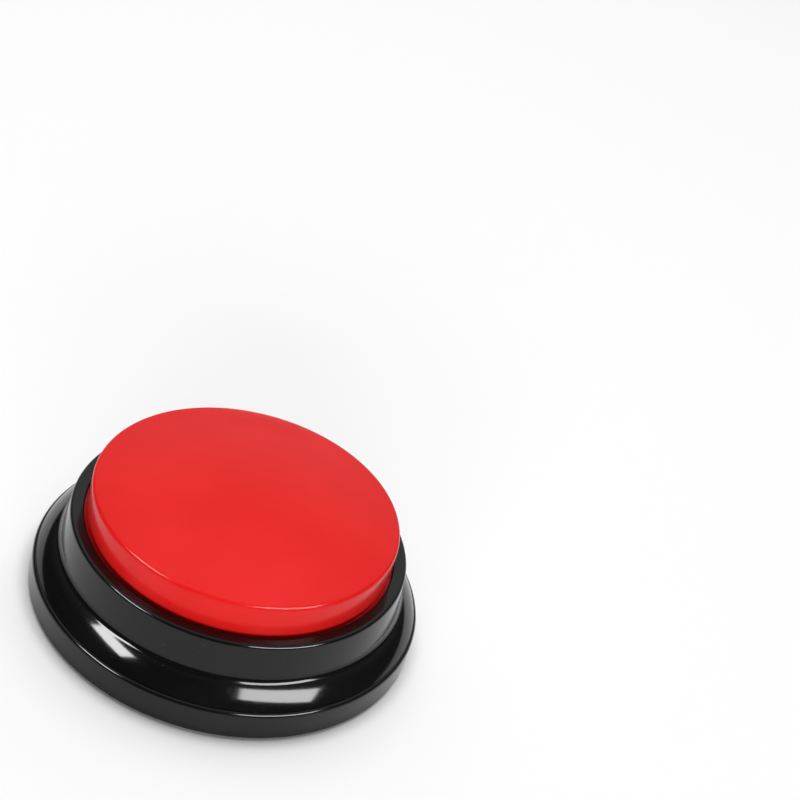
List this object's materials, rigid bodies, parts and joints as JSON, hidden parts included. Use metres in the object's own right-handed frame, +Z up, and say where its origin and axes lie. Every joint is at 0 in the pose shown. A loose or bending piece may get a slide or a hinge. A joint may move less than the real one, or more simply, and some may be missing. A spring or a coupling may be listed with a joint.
{
  "type": "quiz buzzer",
  "caption": "Round quiz buzzer: a stepped black stand with a large domed red push button, sprung inside, with a small switch, speaker and battery door underneath.",
  "frame": {"origin": "on the table under the centre of the stand, level with the bottoms of its feet", "axes": "+Z up through the button's axis; +Y runs from the battery door towards the speaker grille"},
  "size_m": [0.09, 0.09, 0.0354],
  "materials": {
    "cap_red": "polished red moulding",
    "housing_black": "semi-gloss black moulding",
    "inner_plastic": "satin natural-coloured moulding",
    "screw_steel": "zinc-plated steel",
    "spring_steel": "drawn spring wire",
    "nickel": "nickel-plated spring sheet",
    "board_green": "solder-masked laminate",
    "chip_resin": "black potting resin",
    "component_black": "moulded component bodies",
    "switch_black": "moulded switch body",
    "cell_jacket": "printed-metal cell jacket, unmarked",
    "speaker_metal": "pressed and plated steel",
    "speaker_film": "thin translucent film",
    "wire_red": "soft insulation",
    "wire_black": "soft insulation",
    "foot_rubber": "soft matt rubber"
  },
  "bodies": {
    "stand": {"upper_housing": "housing_black", "base_tray": "housing_black", "inner_deck": "inner_plastic", "circuit_board": "board_green", "chip_cover": "chip_resin", "board_components": "component_black", "switch_body": "switch_black", "battery_1": "cell_jacket", "battery_2": "cell_jacket", "contact_positive": "nickel", "contact_negative": "nickel", "contact_bridge": "nickel", "speaker_frame": "speaker_metal", "speaker_magnet": "speaker_metal", "battery_wire_red": "wire_red", "battery_wire_black": "wire_black", "speaker_wire_1": "wire_red", "speaker_wire_2": "wire_black", "housing_screws": "screw_steel", "deck_screws": "screw_steel", "board_screws": "screw_steel", "return_spring_1": "spring_steel", "return_spring_2": "spring_steel", "return_spring_3": "spring_steel", "rubber_foot_1": "foot_rubber", "rubber_foot_2": "foot_rubber", "rubber_foot_3": "foot_rubber", "rubber_foot_4": "foot_rubber"},
    "button": {"button_cap": "cap_red"},
    "stem": {"switch_stem": "inner_plastic"},
    "door": {"battery_door": "housing_black", "battery_door_screw": "screw_steel"},
    "cone": {"speaker_cone": "speaker_film"}
  },
  "joints": [
    {"name": "button_press", "type": "slide", "parent": "stand", "child": "button", "axis": [0, 0, -1], "range_m": [0, 0.0025], "stiffness_N_per_m": 600, "springref_m": -0.002, "deforming": ["return_spring_1", "return_spring_2", "return_spring_3"]},
    {"name": "switch_stem_press", "type": "slide", "parent": "stand", "child": "stem", "axis": [0, 0, -1], "range_m": [0, 0.00025]},
    {"name": "battery_door_swing", "type": "hinge", "parent": "stand", "child": "door", "pos_m": [0, -0.02165, 0.0014], "axis": [-1, 0, 0], "range_deg": [0, 60]},
    {"name": "speaker_cone_travel", "type": "slide", "parent": "stand", "child": "cone", "axis": [0, 0, -1], "range_m": [-0.0003, 0.0003], "stiffness_N_per_m": 500}
  ],
  "couplings": [
    {"joint": "switch_stem_press", "follows": "button_press", "ratio": 0.1}
  ]
}
